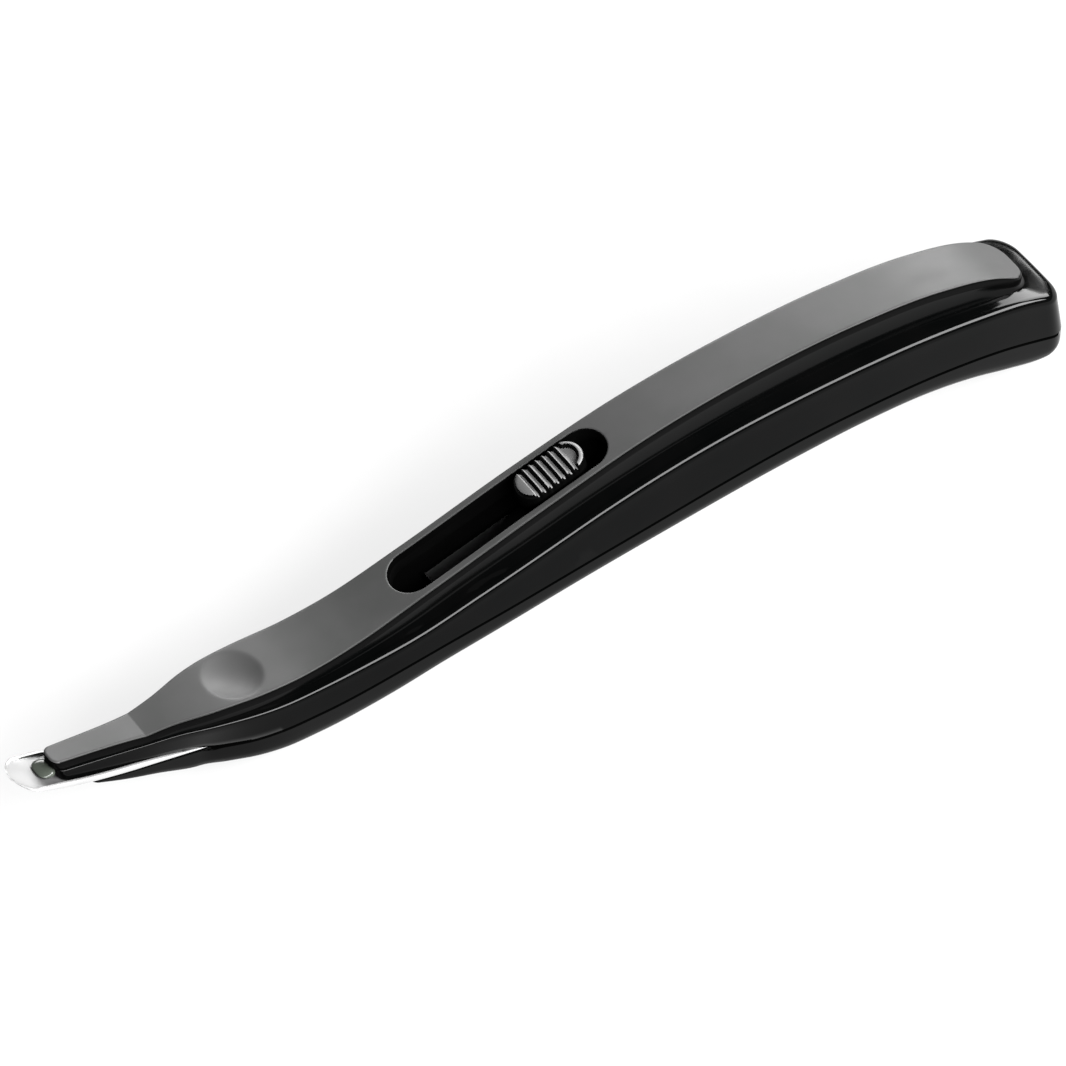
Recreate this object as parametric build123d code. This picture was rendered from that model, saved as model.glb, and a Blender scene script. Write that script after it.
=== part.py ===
"""Pen style staple remover.

A curved two-piece handle carries a steel lifting blade at the tip and a satin strip along its
back. A ribbed thumb button slides in a slot in the strip and carries a magnet up to the blade's
tang and away from it again.

Everything is laid out from the blade tip (x = 0) towards the butt, with y across and z up, the
handle lying on its belly and its butt. export() moves the origin under the middle of the whole.
"""
import os
from math import asin, cos, radians, sin

from build123d import *

# ---------------------------------------------------------------- driving dimensions, in mm
TOTAL_LENGTH = 164.4        # blade tip to butt
NOSE_FRONT = 5.6            # blade tip to the front of the satin strip
NOSE_SETBACK = 0.5          # strip front to the front of the shell below it
STRIP_END = 159.3           # blade tip to the rear end of the strip
STRIP_THICK = 1.4
STRIP_EDGE = 0.45           # rounding of the strip's upper edge
RIM_END = 163.5             # blade tip to the rear of the rim
RIM_EDGE = 0.35             # rounding of the rim
WALL = 1.5                  # shell wall
GROOVE_HEIGHT = 0.35        # dark line where the two shells meet
GROOVE_DEPTH = 0.5
SEAM = 0.08                 # gap between the shells inside the groove
TONGUE = 0.8                # lip of the lower shell that locates inside the upper one
TONGUE_RISE = 1.0
TONGUE_INSET = 1.95         # outside of the lower shell to the outside of its tongue
CREASE = 19.0               # fold across the strip behind the nose
DIMPLE_AT = 33.6            # thumb dimple, distance from the tip
DIMPLE_RADIUS = 3.9
DIMPLE_DEPTH = 0.75

SLOT_FRONT = 58.2           # thumb slot, distances from the tip
SLOT_REAR = 91.6
SLOT_WIDTH = 6.4
SLOT_EDGE = 0.3             # rounding of the slot's lip
TROUGH_DEPTH = 3.3          # strip surface to the floor of the trough
TRACK_FLOOR = 1.2           # thickness of the trough floor
TRACK_WALL = 0.8
TRAVEL = 18.0               # button travel along the slot
SLIDE_GAP = 0.3             # clearance round everything that slides

BUTTON_FRONT = 77.8         # button pulled right back, distances from the tip
BUTTON_REAR = 88.2
BUTTON_WIDTH = 5.3
BUTTON_PROUD = 1.1          # how far the button stands above the strip
BUTTON_LIFT = 0.4           # button underside above the trough floor
RIB_COUNT = 6
RIB_PITCH = 1.05
RIB_DEPTH = 0.8
STEM_WIDTH = 2.0
STEM_LENGTH = 6.0

CARRIAGE_WIDTH = 5.5
CARRIAGE_HEIGHT = 2.3
CARRIAGE_REACH = 15.0       # carriage front ahead of the button front
MAGNET = (8.0, 4.0, 1.6)
SPRING_SHEET = 0.25

BLADE_WIDTH = 6.7
BLADE_SHEET = 0.5
BLADE_LIP = 1.1             # channel wall, underside to top
BLADE_CORNER = 0.55         # outer bend radius of the channel
TANG_WIDTH = 5.0
TANG_START = 30.0           # behind this the blade is a flat tang
TANG_END = 53.0
PEG_AT = (33.5, 38.5)       # locating pegs through the tang
PEG_DIAMETER = 1.8
INSERT_FRONT = 3.7          # dark insert in the channel just ahead of the nose
INSERT_HALF = 1.7
INSERT_RISE = 1.05
INSERT_TAIL = 11.0
INSERT_EDGE = 0.3           # how much lower the insert's front is than its rear

# Side view of the handle: (distance from the tip, height above the table)
NOSE_TOP = [(NOSE_FRONT, 16.45), (CREASE, 13.6)]
BACK = [(CREASE, 13.6), (24.0, 13.8), (30.0, 13.8), (36.0, 13.25), (43.0, 12.8), (50.0, 13.3),
        (62.0, 15.95), (80.0, 20.5), (96.0, 23.8), (114.0, 25.15), (130.0, 24.6),
        (144.0, 22.4), (153.0, 19.35), (STRIP_END, 15.55)]
RIM = [(NOSE_FRONT, 14.9), (19.0, 12.1), (28.0, 11.5), (38.0, 10.4), (48.0, 10.1), (58.0, 10.8),
       (68.0, 12.95), (78.0, 15.0), (88.0, 17.0), (98.0, 18.4), (108.0, 19.2), (118.0, 19.4),
       (128.0, 19.15), (138.0, 18.35), (148.0, 16.8), (156.0, 15.0), (RIM_END, 12.2)]
PARTING = [(28.0, 6.5), (38.0, 6.25), (48.0, 6.1), (58.0, 6.9), (68.0, 8.05), (80.0, 9.35),
           (94.0, 10.65), (108.0, 11.8), (118.0, 12.2), (130.0, 11.85), (142.0, 10.75),
           (152.0, 8.9), (TOTAL_LENGTH, 5.1)]
BELLY = [(10.2, 10.8), (15.0, 7.95), (20.0, 5.35), (26.0, 2.25), (32.0, 1.3), (39.0, 0.35),
         (47.0, 0.0), (54.0, 0.55), (63.0, 1.95), (78.0, 4.05), (98.0, 5.8), (118.0, 6.65),
         (130.0, 6.5), (140.0, 5.6), (148.0, 3.85), (154.0, 1.9), (159.5, 0.35),
         (TOTAL_LENGTH, 0.0)]
BLADE = [(-1.0, 16.5), (0.0, 15.9), (2.2, 14.75), (5.3, 13.2), (14.2, 9.85), (20.2, 8.15),
         (26.2, 6.5), (32.0, 4.9), (38.0, 3.5), (42.0, 3.05), (45.0, 3.3), (48.0, 4.0),
         (TANG_END, 5.25)]

# Plan view: (distance from the tip, half width)
STRIP_HALF = [(NOSE_FRONT, 1.65), (18.0, 2.3), (23.0, 2.95), (28.0, 4.1), (33.0, 4.75),
              (38.0, 4.95), (44.0, 4.8), (52.0, 4.55), (80.0, 4.35), (110.0, 4.15),
              (140.0, 4.15), (TOTAL_LENGTH, 4.2)]
SHOULDER = [(NOSE_FRONT, 0.3), (22.0, 0.35), (30.0, 0.65), (38.0, 1.1), (47.0, 1.5),
            (58.0, 2.05), (70.0, 2.4), (82.0, 2.45), (105.0, 2.55), (126.0, 2.85),
            (TOTAL_LENGTH, 2.95)]
PARTING_HALF = [(NOSE_FRONT, 2.35), (18.0, 2.75), (24.0, 3.05), (27.0, 3.5), (30.0, 4.6),
                (33.0, 5.6), (37.0, 6.35), (43.0, 6.65), (50.0, 6.75), (60.0, 6.95),
                (72.0, 7.4), (88.0, 7.6), (118.0, 7.7), (TOTAL_LENGTH, 7.7)]
LOWER_HALF = [(10.2, 3.2), (20.0, 3.3), (25.0, 3.4)] + PARTING_HALF[3:]
LOWER_ROUND = [(10.2, 0.3), (16.0, 1.0), (24.0, 2.0), (34.0, 2.9), (44.0, 3.5), (56.0, 3.4),
               (100.0, 3.3), (120.0, 3.5), (TOTAL_LENGTH, 3.5)]

# Stations along the handle that every ring round it passes through
STATIONS = [9, 12, 16, 19, 22, 25, 28, 31, 34, 38, 43, 48, 54, 60, 68, 76, 86, 96, 106, 116,
            126, 134, 142, 148, 152, 154.5]
SQUEEZE_FROM = 142          # behind this the stations close up towards each ring's own rear end
SQUEEZE_TO = 156
HIGH, LOW = 40.0, -8.0      # well above and well below the handle
SHOULDER_STEPS = 7
TAIL_BOW = 0.25             # bulge of the butt end in plan


def curve(points):
    """Smooth value at any x through the given points: cubic between them, straight beyond."""
    xs = [x for x, _ in points]
    ys = [y for _, y in points]
    step = [(ys[i + 1] - ys[i]) / (xs[i + 1] - xs[i]) for i in range(len(xs) - 1)]
    slope = [step[0]]
    for i in range(1, len(step)):
        before, after = xs[i] - xs[i - 1], xs[i + 1] - xs[i]
        slope.append((step[i - 1] * after + step[i] * before) / (before + after))
    slope.append(step[-1])

    def value(x):
        if x <= xs[0]:
            return ys[0] + slope[0] * (x - xs[0])
        if x >= xs[-1]:
            return ys[-1] + slope[-1] * (x - xs[-1])
        i = max(k for k in range(len(xs) - 1) if xs[k] <= x)
        h = xs[i + 1] - xs[i]
        t = (x - xs[i]) / h
        start = (2 * t**3 - 3 * t**2 + 1) * ys[i] + (t**3 - 2 * t**2 + t) * h * slope[i]
        end = (3 * t**2 - 2 * t**3) * ys[i + 1] + (t**3 - t**2) * h * slope[i + 1]
        return start + end

    return value


nose_top, back_top = curve(NOSE_TOP), curve(BACK)
rim_z, joint_z, belly_z, blade_z = curve(RIM), curve(PARTING), curve(BELLY), curve(BLADE)
strip_y, shoulder_y = curve(STRIP_HALF), curve(SHOULDER)
upper_y, lower_y, lower_round = curve(PARTING_HALF), curve(LOWER_HALF), curve(LOWER_ROUND)


def back_z(x):
    """Height of the strip's satin surface."""
    return nose_top(x) if x < NOSE_TOP[-1][0] else back_top(x)


def seat_z(x):
    """Height of the strip's underside."""
    return back_z(x) - STRIP_THICK


def rim_y(x):
    return strip_y(x) + shoulder_y(x)


def split_z(x, rise=0.0):
    """Where the shells meet; ahead of the waist they clasp the blade, rise lifts that part."""
    waist = min(max((x - 27.0) / 2.0, 0.0), 1.0)
    return (1 - waist) * (blade_z(x) + rise) + waist * joint_z(x)


# ---------------------------------------------------------------- building blocks
def ring(half, height, front, rear, nose_round, tail_round):
    """Closed curve round the handle as four edges: near side, butt, far side and nose."""
    side_from, side_to = front + nose_round, rear - tail_round

    def place(x, y):
        return Vector(x, y, height(x))

    def heading(x, side):
        """Direction of a side of the ring at x, towards the butt."""
        return Vector(0.02, side * (half(x + 0.01) - half(x - 0.01)),
                      height(x + 0.01) - height(x - 0.01)).normalized()

    xs = [side_from]
    for x in STATIONS:
        if x > SQUEEZE_FROM:
            share = (x - SQUEEZE_FROM) / (SQUEEZE_TO - SQUEEZE_FROM)
            x = SQUEEZE_FROM + share * (side_to - SQUEEZE_FROM)
        if x > side_from + 1:
            xs.append(x)
    full, narrow = half(side_to), half(side_from)
    turns = [radians(22.5 * k) for k in range(5)]
    butt = [(tail_round * (1 - sin(t)), full - tail_round * (1 - cos(t))) for t in turns]
    butt += [(0.0, (full - tail_round) * share) for share in (0.6, 0.2)]
    butt = [(rear - back - TAIL_BOW * (y / full)**2 * (1 - back / tail_round), y)
            for back, y in reversed(butt)]
    nose = [(front + nose_round * (1 - sin(t)), narrow - nose_round * (1 - cos(t)))
            for t in reversed(turns)]
    near = [place(x, half(x)) for x in xs]
    far = [place(x, -half(x)) for x in xs]
    runs = [
        (near, heading(side_from, 1), heading(side_to, 1)),
        ([place(x, y) for x, y in reversed(butt)] + [place(x, -y) for x, y in butt],
         heading(side_to, 1), -heading(side_to, -1)),
        (list(reversed(far)), -heading(side_to, -1), -heading(side_from, -1)),
        ([place(x, -y) for x, y in reversed(nose)] + [place(x, y) for x, y in nose],
         -heading(side_from, -1), heading(side_from, 1)),
    ]
    near.append(runs[1][0][0])
    far.append(runs[1][0][-1])
    runs[2] = (list(reversed(far)), *runs[2][1:])
    return [Edge.make_spline(points, tangents=[start, end], scale=False)
            for points, start, end in runs]


def skin(rings):
    """Solid whose side runs straight from each ring to the next, the end rings being flat."""
    faces = [Face(Wire(rings[0])), Face(Wire(rings[-1]))]
    for lower, upper in zip(rings, rings[1:]):
        faces += [Face.make_surface_from_curves(a, b) for a, b in zip(lower, upper)]
    return Solid(Shell(faces))


def level(value):
    return lambda x: value


def inset(half, amount):
    return lambda x: half(x) - amount


def spline_run(height, x_from, x_to):
    """Smooth edge of the side view between two places along the handle."""
    count = max(int((x_to - x_from) / 2.0), 4)
    xs = [x_from + (x_to - x_from) * k / count for k in range(count + 1)]
    return Spline(*[(x, 0, height(x)) for x in xs])


def side_slab(lower, upper, x_from, x_to, half_width=20.0):
    """Everything between two heights of the side view, across the given half width."""
    low = spline_run(lower, x_from, x_to)
    top = spline_run(upper, x_from, x_to)
    outline = Wire([low, Line(low @ 1, top @ 1), top, Line(top @ 0, low @ 0)])
    return extrude(Face(outline), amount=half_width, dir=(0, 1, 0), both=True)


def column(half, front, rear, nose_round, tail_round):
    """The plan outline as an upright block."""
    return skin([ring(half, level(z), front, rear, nose_round, tail_round) for z in (LOW, HIGH)])


# The slide runs along the middle of the slot, tilted with the back of the handle
SLOT_MIDDLE = (SLOT_FRONT + SLOT_REAR) / 2
SLOPE = asin((back_z(SLOT_REAR - 3) - back_z(SLOT_FRONT + 3))
             / Vector(SLOT_REAR - SLOT_FRONT - 6, 0,
                      back_z(SLOT_REAR - 3) - back_z(SLOT_FRONT + 3)).length)
SLIDE = Plane(origin=(SLOT_MIDDLE, 0, back_z(SLOT_MIDDLE)),
              x_dir=(cos(SLOPE), 0, sin(SLOPE)), z_dir=(-sin(SLOPE), 0, cos(SLOPE)))


def along(x):
    """Distance along the slide from its middle, for a place x on the strip."""
    return (x - SLOT_MIDDLE) / cos(SLOPE)


def slide_box(u_from, u_to, half_width, n_from, n_to):
    """Block lying along the slide: u along it, n out of the strip."""
    box = Box(u_to - u_from, 2 * half_width, n_to - n_from)
    return SLIDE * Pos((u_from + u_to) / 2, 0, (n_from + n_to) / 2) * box


def slide_stadium(u_from, u_to, width, n_from, n_to):
    """Round-ended block lying along the slide."""
    sketch = SlotOverall(u_to - u_from, width)
    block = extrude(sketch, amount=n_to - n_from)
    return SLIDE * Pos((u_from + u_to) / 2, 0, n_from) * block


SLOT_U = (along(SLOT_FRONT), along(SLOT_REAR))
BUTTON_U = (along(BUTTON_FRONT), along(BUTTON_REAR))
FLOOR_TOP = -TROUGH_DEPTH
FLOOR_BOTTOM = -TROUGH_DEPTH - TRACK_FLOOR
CARRIAGE_TOP = FLOOR_BOTTOM - SLIDE_GAP
CARRIAGE_BOTTOM = CARRIAGE_TOP - CARRIAGE_HEIGHT
CARRIAGE_U = (BUTTON_U[0] - CARRIAGE_REACH, BUTTON_U[1])
STEM_U = ((BUTTON_U[0] + BUTTON_U[1] - STEM_LENGTH) / 2, (BUTTON_U[0] + BUTTON_U[1] + STEM_LENGTH) / 2)


# ---------------------------------------------------------------- the pieces
def make_top_strip():
    """Satin strip along the back, with the thumb slot and the round dimple."""
    strip = column(strip_y, NOSE_FRONT, STRIP_END, 1.3, 2.2)
    strip &= side_slab(seat_z, back_z, 0, 170)
    dimple_ball = (DIMPLE_RADIUS**2 + DIMPLE_DEPTH**2) / (2 * DIMPLE_DEPTH)
    centre = back_z(DIMPLE_AT) - DIMPLE_DEPTH + dimple_ball
    strip -= Pos(DIMPLE_AT, 0, centre) * Sphere(dimple_ball)
    strip -= slide_stadium(*SLOT_U, SLOT_WIDTH, -6, 6)
    outline, lip = [], []
    for edge in strip.edges():
        places = [edge @ share for share in (0.1, 0.5, 0.9)]
        if any(abs(p.Z - back_z(p.X)) > 0.03 for p in places):
            continue
        in_slot = all(SLOT_FRONT - 0.5 < p.X < SLOT_REAR + 0.5 and abs(p.Y) < SLOT_WIDTH / 2 + 0.05
                      for p in places)
        in_dimple = all(abs(p.X - DIMPLE_AT) < DIMPLE_RADIUS + 0.3 and
                        abs(p.Y) < strip_y(p.X) - 0.3 for p in places)
        if in_slot:
            lip.append(edge)
        elif not in_dimple:
            outline.append(edge)
    strip = fillet(outline, STRIP_EDGE)
    strip = fillet([e for e in strip.edges() if any(same_place(e, f) for f in lip)], SLOT_EDGE)
    return strip


def same_place(edge, other):
    return (edge @ 0.5 - other @ 0.5).length < 0.01


def outer_skin():
    """The upper shell's outside: seat of the strip, hollow shoulder, rim and side panel."""
    front = NOSE_FRONT + NOSE_SETBACK
    rings = [ring(inset(strip_y, 0.02), level(HIGH), front, STRIP_END, 1.2, 2.2)]
    for k in range(SHOULDER_STEPS + 1):
        a = radians(90 * k / SHOULDER_STEPS)
        out, down = 1 - cos(a), sin(a)
        rings.append(ring(
            lambda x: strip_y(x) + out * (shoulder_y(x) - RIM_EDGE),
            lambda x: (1 - down) * (seat_z(x) + 0.1) + down * rim_z(x),
            front, STRIP_END + out * (RIM_END - RIM_EDGE - STRIP_END), 1.2, 2.2 + out))
    for k in (1, 2, 3):
        a = radians(30 * k)
        rings.append(ring(
            lambda x: rim_y(x) - RIM_EDGE * (1 - sin(a)),
            lambda x: rim_z(x) - RIM_EDGE * (1 - cos(a)),
            front, RIM_END - RIM_EDGE * (1 - sin(a)), 1.2, 3.2))
    rings.append(ring(upper_y, lambda x: split_z(x) - 0.8, front, TOTAL_LENGTH, 1.3, 3.6))
    rings.append(ring(upper_y, level(LOW), front, TOTAL_LENGTH, 1.3, 3.6))
    return skin(rings)


def upper_hollow():
    """The room inside the upper shell."""
    front, rear = 30.0, STRIP_END - WALL
    return skin([
        ring(inset(strip_y, 1.0), level(HIGH), front, rear - 1.0, 1.5, 2.0),
        ring(inset(strip_y, 1.0), lambda x: seat_z(x) - WALL, front, rear - 1.0, 1.5, 2.0),
        ring(inset(rim_y, 1.9), lambda x: rim_z(x) - 1.0, front, RIM_END - 2.6, 1.5, 2.2),
        ring(inset(upper_y, WALL), lambda x: joint_z(x) + TONGUE_RISE + 0.2, front,
             TOTAL_LENGTH - WALL, 1.5, 2.4),
        ring(inset(upper_y, WALL), level(LOW), front, TOTAL_LENGTH - WALL, 1.5, 2.4),
    ]) & side_slab(level(LOW), lambda x: seat_z(x) - WALL, 20, 168)


def lip_height(x):
    """Height of the blade's side walls, fading into the sheet at the tip."""
    share = min(max((x - 1.0) / 7.0, 0.0), 1.0)
    return BLADE_SHEET + (BLADE_LIP - BLADE_SHEET) * share**2 * (3 - 2 * share)


def make_blade():
    """Spring steel blade: scooped tip, channel under the nose, flat tang inside the belly."""
    outside = side_slab(blade_z, lambda x: blade_z(x) + BLADE_LIP, -0.9, TANG_START,
                        BLADE_WIDTH / 2)
    outside = fillet(low_corners(outside, 0.0, BLADE_WIDTH / 2), BLADE_CORNER)
    inside_half = BLADE_WIDTH / 2 - BLADE_SHEET
    inside = side_slab(lambda x: blade_z(x) + BLADE_SHEET, lambda x: blade_z(x) + 4, -0.95,
                       TANG_START + 1, inside_half)
    inside = fillet(low_corners(inside, BLADE_SHEET, inside_half), BLADE_CORNER - BLADE_SHEET)
    tang = side_slab(blade_z, lambda x: blade_z(x) + BLADE_SHEET, TANG_START - 2, TANG_END,
                     TANG_WIDTH / 2)
    for x in PEG_AT:
        tang -= Pos(x, 0, blade_z(x)) * Cylinder(PEG_DIAMETER / 2 + 0.1, 4)
    blade = outside - inside + tang
    # the channel walls run out towards the tip
    blade -= side_slab(lambda x: blade_z(x) + lip_height(x), lambda x: blade_z(x) + 4, -0.95, 8.05,
                       BLADE_WIDTH)
    return blade & blade_plan()


def low_corners(block, rise, half):
    """The two long lower edges of a slab that follows the blade."""
    return block.edges().filter_by(
        lambda e: e.length > 20 and abs(abs(e.center().Y) - half) < 0.01
        and abs((e @ 0.5).Z - blade_z((e @ 0.5).X) - rise) < 0.1)


def blade_plan():
    """Plan outline of the blade: round tip, straight sides, square tang."""
    r = BLADE_WIDTH / 2 + 0.25
    reach = r - (r**2 - (BLADE_WIDTH / 2)**2) ** 0.5
    half = BLADE_WIDTH / 2
    outline = Wire([
        ThreePointArc((reach, -half), (0, 0), (reach, half)),
        Line((reach, half), (TANG_END, half)),
        Line((TANG_END, half), (TANG_END, -half)),
        Line((TANG_END, -half), (reach, -half))])
    return extrude(Face(outline), amount=30, dir=(0, 0, 1))


def blade_room(gap):
    """Room for the blade between the shells: the channel ahead, the flat tang behind."""
    channel = side_slab(lambda x: blade_z(x) - gap, lambda x: blade_z(x) + BLADE_LIP + gap, 0,
                        TANG_START + 0.4, BLADE_WIDTH / 2 + gap)
    tang = side_slab(lambda x: blade_z(x) - gap, lambda x: blade_z(x) + 2.5, TANG_START,
                     TANG_END + 0.4, TANG_WIDTH / 2 + gap)
    return channel + tang


def make_upper_shell():
    """Gloss upper shell: nose block, hollow shoulders, rim and side panels."""
    shell = outer_skin() & side_slab(lambda x: split_z(x, BLADE_SHEET + 0.05), seat_z, 0, 170)
    shell -= upper_hollow()
    # room for the channel walls where the waist spreads over them
    core = side_slab(lambda x: blade_z(x) - 2, lambda x: blade_z(x) + 3, -1, TANG_START + 2,
                     BLADE_WIDTH / 2 - BLADE_SHEET - 0.25)
    shell -= blade_room(0.1) - core
    # opening for the track under the slot
    shell -= slide_stadium(SLOT_U[0] - TRACK_WALL, SLOT_U[1] + TRACK_WALL,
                           SLOT_WIDTH + 2 * TRACK_WALL, -12, 6)
    return shell - insert_tail(0.0)


def insert_tail(gap):
    """Root of the tip insert inside the nose."""
    return side_slab(lambda x: blade_z(x) + BLADE_SHEET + 0.15 - gap,
                     lambda x: blade_z(x) + BLADE_SHEET + 1.0 + gap,
                     INSERT_FRONT + 1.0, INSERT_TAIL + gap, 1.0 + gap)


def make_tip_insert():
    """Dark insert that fills the channel just ahead of the nose, its top sloping down in front."""
    rear = NOSE_FRONT + NOSE_SETBACK - 0.06
    top = blade_z(INSERT_FRONT + 1.2) + BLADE_SHEET + INSERT_RISE

    def crown(x):
        return top - INSERT_EDGE * ((rear - x) / (rear - INSERT_FRONT))**2

    head = side_slab(lambda x: blade_z(x) + BLADE_SHEET + 0.02, crown, INSERT_FRONT, rear,
                     INSERT_HALF)
    plan = RectangleRounded(30, 2 * INSERT_HALF, 1.2)
    return (head + insert_tail(0.0)) & extrude(Pos(INSERT_FRONT + 15, 0) * plan, amount=30)


def make_lower_shell():
    """Gloss lower shell: wedge under the blade, rounded belly, locating tongue and pegs."""
    rings = [ring(lower_y, level(HIGH), 10.2, TOTAL_LENGTH, 1.0, 3.6),
             ring(lower_y, lambda x: belly_z(x) + lower_round(x), 10.2, TOTAL_LENGTH, 1.0, 3.6)]
    for k in range(1, 6):
        a = radians(15 * k)
        out, drop = 1 - cos(a), 1 - sin(a)
        rings.append(ring(lambda x: lower_y(x) - out * lower_round(x),
                          lambda x: belly_z(x) + drop * lower_round(x),
                          10.2, TOTAL_LENGTH - 3.5 * out, 1.0, 3.6 - 1.6 * out))
    for z in (lambda x: belly_z(x) - 0.15, level(LOW)):
        rings.append(ring(lambda x: lower_y(x) - 1.1 * lower_round(x), z,
                          10.2, TOTAL_LENGTH - 3.85, 1.0, 1.9))
    shell = skin(rings) & side_slab(belly_z, lambda x: split_z(x) - SEAM, 0, 170)
    lip_half = inset(lower_y, TONGUE_INSET)
    lip = column(lip_half, 33.0, TOTAL_LENGTH - TONGUE_INSET, 1.0, 1.8)
    lip &= side_slab(lambda x: joint_z(x) - 1, lambda x: joint_z(x) + TONGUE_RISE, 20, 168)
    inside = TONGUE_INSET + TONGUE
    room_half = inset(lower_y, inside)
    room = skin([ring(room_half, level(HIGH), 35.0, TOTAL_LENGTH - inside, 0.8, 1.5),
                 ring(room_half, lambda x: belly_z(x) + WALL + 1.0, 35.0, TOTAL_LENGTH - inside,
                      0.8, 1.5),
                 ring(inset(room_half, 0.9), lambda x: belly_z(x) + WALL - 0.1, 35.0,
                      TOTAL_LENGTH - inside - 0.9, 0.8, 1.0),
                 ring(inset(room_half, 0.9), level(LOW), 35.0, TOTAL_LENGTH - inside - 0.9,
                      0.8, 1.0)])
    room &= side_slab(lambda x: belly_z(x) + WALL, level(HIGH), 20, 168)
    shell = shell + lip - room
    # posts that carry the tang, with a peg through each of its holes
    for x in PEG_AT:
        post = Pos(x, 0, 10) * Box(3.0, 5.0, 20)
        shell += post & side_slab(lambda x: belly_z(x) + 0.5, lambda x: blade_z(x) - 0.05, 25, 60)
    shell -= blade_room(0.1)
    for x in PEG_AT:
        base = blade_z(x)
        shell += Pos(x, 0, base) * Cylinder(PEG_DIAMETER / 2, 2.2)
    # dark groove where the shells meet
    groove = column(level(20), -5, 180, 1, 1) - column(inset(lower_y, GROOVE_DEPTH), 10.2,
                                                       TOTAL_LENGTH - GROOVE_DEPTH, 1.0, 3.1)
    groove &= side_slab(lambda x: joint_z(x) - GROOVE_HEIGHT, lambda x: joint_z(x) + 1, 27.5, 168)
    return shell - groove


def make_slide_track():
    """Trough under the slot with a slit for the button's stem and rails for the carriage."""
    rail_front = CARRIAGE_U[0] - TRAVEL - 0.5
    rail_rear = CARRIAGE_U[1] + SLIDE_GAP + 0.5
    rail_half = CARRIAGE_WIDTH / 2 + SLIDE_GAP + TRACK_WALL
    tub = slide_stadium(SLOT_U[0] - TRACK_WALL, SLOT_U[1] + TRACK_WALL,
                        SLOT_WIDTH + 2 * TRACK_WALL, FLOOR_BOTTOM, 2)
    tub &= side_slab(level(0), seat_z, 40, 110)
    track = tub + slide_box(rail_front, rail_rear, rail_half, CARRIAGE_BOTTOM, FLOOR_BOTTOM + 0.4)
    track += slide_box(rail_front, rail_rear, rail_half - 0.5, FLOOR_BOTTOM, FLOOR_TOP)
    track -= slide_stadium(*SLOT_U, SLOT_WIDTH, FLOOR_TOP, 8)
    track -= slide_box(rail_front - 1, CARRIAGE_U[1] + SLIDE_GAP, CARRIAGE_WIDTH / 2 + SLIDE_GAP,
                       CARRIAGE_BOTTOM - 1, FLOOR_BOTTOM)
    track -= slide_box(STEM_U[0] - TRAVEL - SLIDE_GAP, STEM_U[1] + SLIDE_GAP,
                       STEM_WIDTH / 2 + SLIDE_GAP, FLOOR_BOTTOM - 1, FLOOR_TOP + 1)
    return track


def stem():
    return slide_box(*STEM_U, STEM_WIDTH / 2, CARRIAGE_TOP - 0.5, FLOOR_TOP + BUTTON_LIFT + 1.6)


def make_slide_button():
    """Thumb button: smooth pad in front, ribs across the middle, raised crescent behind."""
    base = FLOOR_TOP + BUTTON_LIFT
    body = slide_stadium(*BUTTON_U, BUTTON_WIDTH, base, BUTTON_PROUD)
    body = fillet(edges_at(body, BUTTON_PROUD), 1.0)
    first = BUTTON_U[0] + 2.3
    groove = RIB_PITCH * 0.5
    for k in range(RIB_COUNT + 1):
        u = first + k * RIB_PITCH
        body -= slide_box(u, u + groove, BUTTON_WIDTH, BUTTON_PROUD - RIB_DEPTH, BUTTON_PROUD + 1)
    last = first + RIB_COUNT * RIB_PITCH
    hollow = slide_stadium(BUTTON_U[0] + 0.7, BUTTON_U[1] - 0.7, BUTTON_WIDTH - 1.4,
                           BUTTON_PROUD - RIB_DEPTH, BUTTON_PROUD + 1)
    body -= hollow & slide_box(last, BUTTON_U[1], BUTTON_WIDTH, -5, 5)
    return body - stem()


def edges_at(body, n):
    """Edges of a piece lying at height n over the slide."""
    return body.edges().filter_by(lambda e: all(
        abs(SLIDE.to_local_coords(e @ t).Z - n) < 0.01 for t in (0.0, 0.3, 1.0)))


def make_slide_carriage():
    """Bar under the track that joins the button to the magnet."""
    bar = slide_box(*CARRIAGE_U, CARRIAGE_WIDTH / 2, CARRIAGE_BOTTOM, CARRIAGE_TOP)
    bar -= make_magnet()
    bar -= spring_slots()
    return bar + stem()


def make_magnet():
    length, width, height = MAGNET
    return slide_box(CARRIAGE_U[0] + 0.8, CARRIAGE_U[0] + 0.8 + length, width / 2,
                     CARRIAGE_BOTTOM, CARRIAGE_BOTTOM + height)


SPRING_U = (CARRIAGE_U[1] - 9.0, CARRIAGE_U[1] - 1.0)
SPRING_N = (CARRIAGE_BOTTOM + 0.4, CARRIAGE_TOP - 0.5)
SPRING_ROOT = 1.9           # half width where the spring's arms leave the carriage
SPRING_REACH = CARRIAGE_WIDTH / 2 + SLIDE_GAP - 0.05


def spring_slots():
    """Recesses in the carriage's sides and the slot across it for the spring."""
    middle = SPRING_U[1] - SPRING_SHEET / 2
    slots = slide_box(middle - SPRING_SHEET / 2, middle + SPRING_SHEET / 2, 5, SPRING_N[0],
                      SPRING_N[1])
    sides = slide_box(SPRING_U[0] - 0.3, SPRING_U[1] + 0.3, 5, SPRING_N[0], SPRING_N[1])
    sides -= slide_box(SPRING_U[0] - 1, SPRING_U[1] + 1, SPRING_ROOT - SPRING_SHEET, -20, 5)
    return slots + sides


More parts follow.
